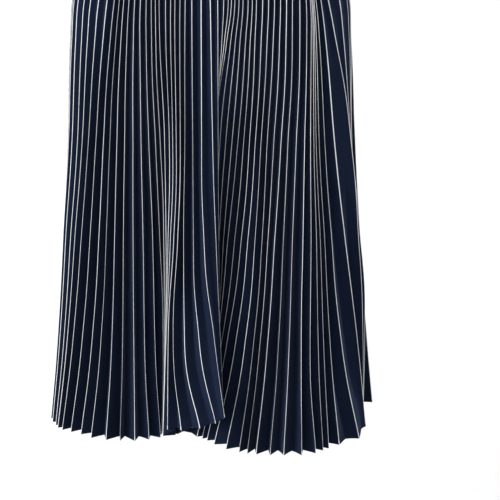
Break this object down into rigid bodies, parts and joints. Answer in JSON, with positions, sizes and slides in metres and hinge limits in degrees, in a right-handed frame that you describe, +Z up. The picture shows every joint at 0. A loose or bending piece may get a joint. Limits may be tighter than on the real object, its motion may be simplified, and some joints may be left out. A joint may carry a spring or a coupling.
{
  "type": "pleated midi skirt",
  "caption": "Filled-out midi skirt of sharp accordion pleats with thin pale crest stripes, hanging in soft folds from a plain elastic waistband.",
  "frame": {"origin": "centre of the waist opening, level with the waistband's top edge", "axes": "+Z up along the skirt, the front faces -Y, +X to the right as seen from the front"},
  "size_m": [0.4518, 0.3972, 0.8],
  "materials": {
    "pleated_cloth": "dark navy crepe, soft low sheen, pale stripe on each crest",
    "waistband_cloth": "dark navy covered elastic, matt"
  },
  "bodies": {
    "root": {"front_panel": "pleated_cloth", "back_panel": "pleated_cloth", "waistband": "waistband_cloth"}
  },
  "joints": []
}
